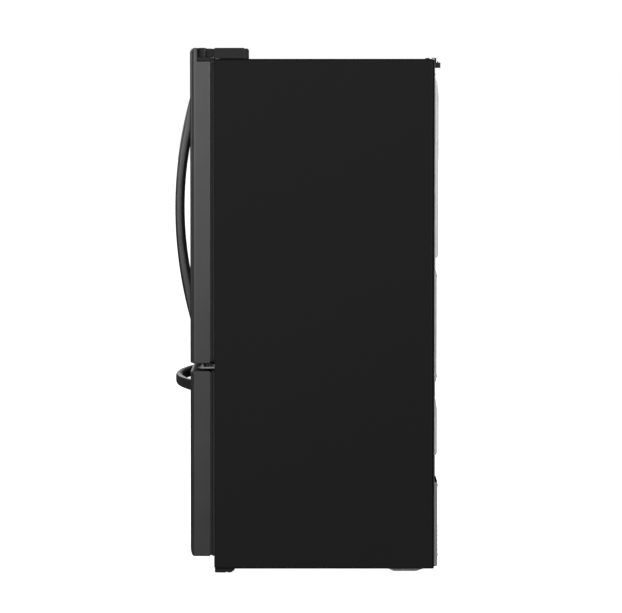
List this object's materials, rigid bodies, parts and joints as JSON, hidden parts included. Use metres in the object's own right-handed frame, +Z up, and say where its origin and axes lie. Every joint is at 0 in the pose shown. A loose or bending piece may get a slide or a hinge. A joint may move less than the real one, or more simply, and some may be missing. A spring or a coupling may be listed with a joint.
{
  "type": "french door refrigerator",
  "caption": "Refrigerator with side-hinged upper doors, a sliding freezer drawer below, bow handles, folding mullion flap, shelves, bins and machine space.",
  "frame": {"origin": "on the floor, under the middle of the whole object's box", "axes": "+Z up, +X to the right-hand side of someone facing the doors, doors facing -Y"},
  "size_m": [0.908, 0.904, 1.772],
  "materials": {
    "black_paint": "satin",
    "black_steel": "satin",
    "handle_steel": "satin",
    "galvanised_sheet": "satin",
    "zinc_steel": "satin",
    "dark_plastic": "satin",
    "white_liner": "satin",
    "clear_plastic": "gloss",
    "shelf_glass": "gloss",
    "insulation_foam": "matte",
    "gasket_rubber": "matte",
    "roller_nylon": "satin",
    "coated_wire": "satin",
    "black_enamel": "gloss",
    "fin_aluminium": "satin"
  },
  "bodies": {
    "cabinet": {"outer_wrapper": "black_paint", "rear_panel": "galvanised_sheet", "foam_insulation": "insulation_foam", "fridge_liner": "white_liner", "freezer_liner": "white_liner", "bottom_deck": "galvanised_sheet", "rear_duct_cover": "galvanised_sheet", "machine_cover": "galvanised_sheet", "right_rear_spacer": "dark_plastic", "left_rear_spacer": "dark_plastic", "front_base_rail": "zinc_steel", "kick_plate": "dark_plastic", "compressor_base": "galvanised_sheet", "compressor": "black_enamel", "condenser_coil": "black_enamel", "condenser_fan_bracket": "dark_plastic", "evaporator": "fin_aluminium", "evaporator_cover": "white_liner", "right_top_hinge": "zinc_steel", "left_top_hinge": "zinc_steel", "right_hinge_cover": "dark_plastic", "left_hinge_cover": "dark_plastic", "right_mid_hinge": "zinc_steel", "left_mid_hinge": "zinc_steel", "right_drawer_rail": "zinc_steel", "left_drawer_rail": "zinc_steel", "lower_shelf": "shelf_glass", "upper_shelf": "shelf_glass", "crisper_cover": "shelf_glass", "air_duct": "white_liner"},
    "right_door": {"right_door_skin": "black_steel", "right_door_liner": "white_liner", "right_door_gasket": "gasket_rubber", "right_door_handle": "handle_steel", "right_lower_bin": "clear_plastic", "right_upper_bin": "clear_plastic"},
    "left_door": {"left_door_skin": "black_steel", "left_door_liner": "white_liner", "left_door_gasket": "gasket_rubber", "left_door_handle": "handle_steel", "left_lower_bin": "clear_plastic", "left_upper_bin": "clear_plastic"},
    "mullion_flap": {"mullion_flap": "dark_plastic"},
    "freezer_drawer": {"drawer_skin": "black_steel", "drawer_liner": "white_liner", "drawer_gasket": "gasket_rubber", "freezer_handle": "handle_steel", "drawer_frame": "zinc_steel", "freezer_basket": "coated_wire"},
    "upper_basket": {"upper_basket": "coated_wire"},
    "right_crisper": {"right_crisper": "clear_plastic"},
    "left_crisper": {"left_crisper": "clear_plastic"},
    "condenser_fan": {"condenser_fan": "dark_plastic"},
    "evaporator_fan": {"evaporator_fan": "dark_plastic"},
    "right_leveling_leg": {"right_leveling_leg": "zinc_steel"},
    "left_leveling_leg": {"left_leveling_leg": "zinc_steel"},
    "right_front_roller": {"right_front_roller": "roller_nylon"},
    "left_front_roller": {"left_front_roller": "roller_nylon"},
    "right_rear_roller": {"right_rear_roller": "roller_nylon"},
    "left_rear_roller": {"left_rear_roller": "roller_nylon"}
  },
  "joints": [
    {"name": "right_door_hinge", "type": "hinge", "parent": "cabinet", "child": "right_door", "pos_m": [0.432, -0.349, 0.72], "axis": [0, 0, 1], "range_deg": [0, 120]},
    {"name": "left_door_hinge", "type": "hinge", "parent": "cabinet", "child": "left_door", "pos_m": [-0.432, -0.349, 0.72], "axis": [0, 0, -1], "range_deg": [0, 120]},
    {"name": "mullion_flap_pivot", "type": "hinge", "parent": "left_door", "child": "mullion_flap", "pos_m": [-0.025, -0.2965, 1.2], "axis": [0, 0, 1], "range_deg": [-90, 0]},
    {"name": "freezer_drawer_slide", "type": "slide", "parent": "cabinet", "child": "freezer_drawer", "axis": [0, -1, 0], "range_m": [0, 0.42]},
    {"name": "upper_basket_slide", "type": "slide", "parent": "cabinet", "child": "upper_basket", "axis": [0, -1, 0], "range_m": [0, 0.2311]},
    {"name": "right_crisper_slide", "type": "slide", "parent": "cabinet", "child": "right_crisper", "axis": [0, -1, 0], "range_m": [0, 0.2179]},
    {"name": "left_crisper_slide", "type": "slide", "parent": "cabinet", "child": "left_crisper", "axis": [0, -1, 0], "range_m": [0, 0.2179]},
    {"name": "condenser_fan_spin", "type": "hinge", "parent": "cabinet", "child": "condenser_fan", "pos_m": [0.056, 0.3185, 0.115], "axis": [1, 0, 0], "continuous": true},
    {"name": "evaporator_fan_spin", "type": "hinge", "parent": "cabinet", "child": "evaporator_fan", "pos_m": [0, 0.304, 0.585], "axis": [0, 1, 0], "continuous": true},
    {"name": "right_leg_screw", "type": "hinge", "parent": "cabinet", "child": "right_leveling_leg", "pos_m": [0.412, -0.29, 0], "axis": [0, 0, 1], "continuous": true},
    {"name": "left_leg_screw", "type": "hinge", "parent": "cabinet", "child": "left_leveling_leg", "pos_m": [-0.412, -0.29, 0], "axis": [0, 0, 1], "continuous": true},
    {"name": "right_front_roller_spin", "type": "hinge", "parent": "cabinet", "child": "right_front_roller", "pos_m": [0.412, -0.255, 0.0156], "axis": [1, 0, 0], "continuous": true},
    {"name": "left_front_roller_spin", "type": "hinge", "parent": "cabinet", "child": "left_front_roller", "pos_m": [-0.412, -0.255, 0.0156], "axis": [1, 0, 0], "continuous": true},
    {"name": "right_rear_roller_spin", "type": "hinge", "parent": "cabinet", "child": "right_rear_roller", "pos_m": [0.38, 0.335, 0.02], "axis": [1, 0, 0], "continuous": true},
    {"name": "left_rear_roller_spin", "type": "hinge", "parent": "cabinet", "child": "left_rear_roller", "pos_m": [-0.38, 0.335, 0.02], "axis": [1, 0, 0], "continuous": true}
  ],
  "couplings": [
    {"joint": "right_crisper_slide", "follows": "right_door_hinge", "m_per_rad": 0.104},
    {"joint": "left_crisper_slide", "follows": "left_door_hinge", "m_per_rad": 0.104},
    {"joint": "upper_basket_slide", "follows": "freezer_drawer_slide", "ratio": 0.55}
  ]
}
